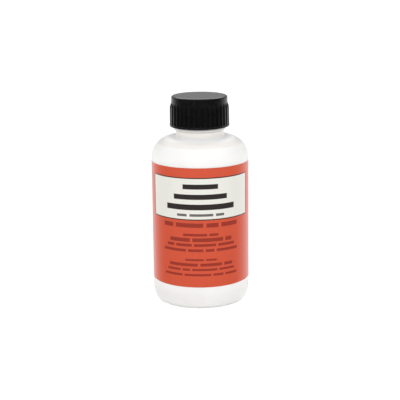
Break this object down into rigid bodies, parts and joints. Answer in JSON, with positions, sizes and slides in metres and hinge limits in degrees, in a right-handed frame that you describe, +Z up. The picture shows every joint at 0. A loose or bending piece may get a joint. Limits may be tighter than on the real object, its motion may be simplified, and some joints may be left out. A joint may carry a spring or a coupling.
{
  "type": "nail polish remover bottle",
  "caption": "Round-shouldered plastic bottle for nail polish remover, with a wrap-around label, a pour-hole insert in its neck and a ribbed screw cap with a liner.",
  "frame": {"origin": "centre of the base, on the surface that the bottle stands on", "axes": "+Z up along the bottle's axis, -Y towards the front of the label, the label's seam at +Y"},
  "size_m": [0.0386, 0.0387, 0.0821],
  "materials": {
    "milky_polyethylene": "smooth semi-gloss, blow-moulded",
    "clear_polyethylene": "natural, slightly waxy, injection-moulded",
    "printed_film": "glossy printed film",
    "black_polypropylene": "semi-gloss, injection-moulded",
    "white_foam": "matt closed-cell foam"
  },
  "bodies": {
    "bottle": {"bottle": "milky_polyethylene", "pour_insert": "clear_polyethylene", "wrap_label": "printed_film"},
    "liner": {"cap_liner": "white_foam"},
    "cap": {"screw_cap": "black_polypropylene"}
  },
  "joints": [
    {"name": "cap_lift", "type": "slide", "parent": "bottle", "child": "liner", "axis": [0, 0, 1], "range_m": [0, 0.0128]},
    {"name": "cap_turn", "type": "hinge", "parent": "liner", "child": "cap", "pos_m": [0, 0, 0.0821], "axis": [0, 0, 1], "range_deg": [0, 1440]}
  ],
  "couplings": [
    {"joint": "cap_lift", "follows": "cap_turn", "m_per_rad": 0.00050532}
  ]
}
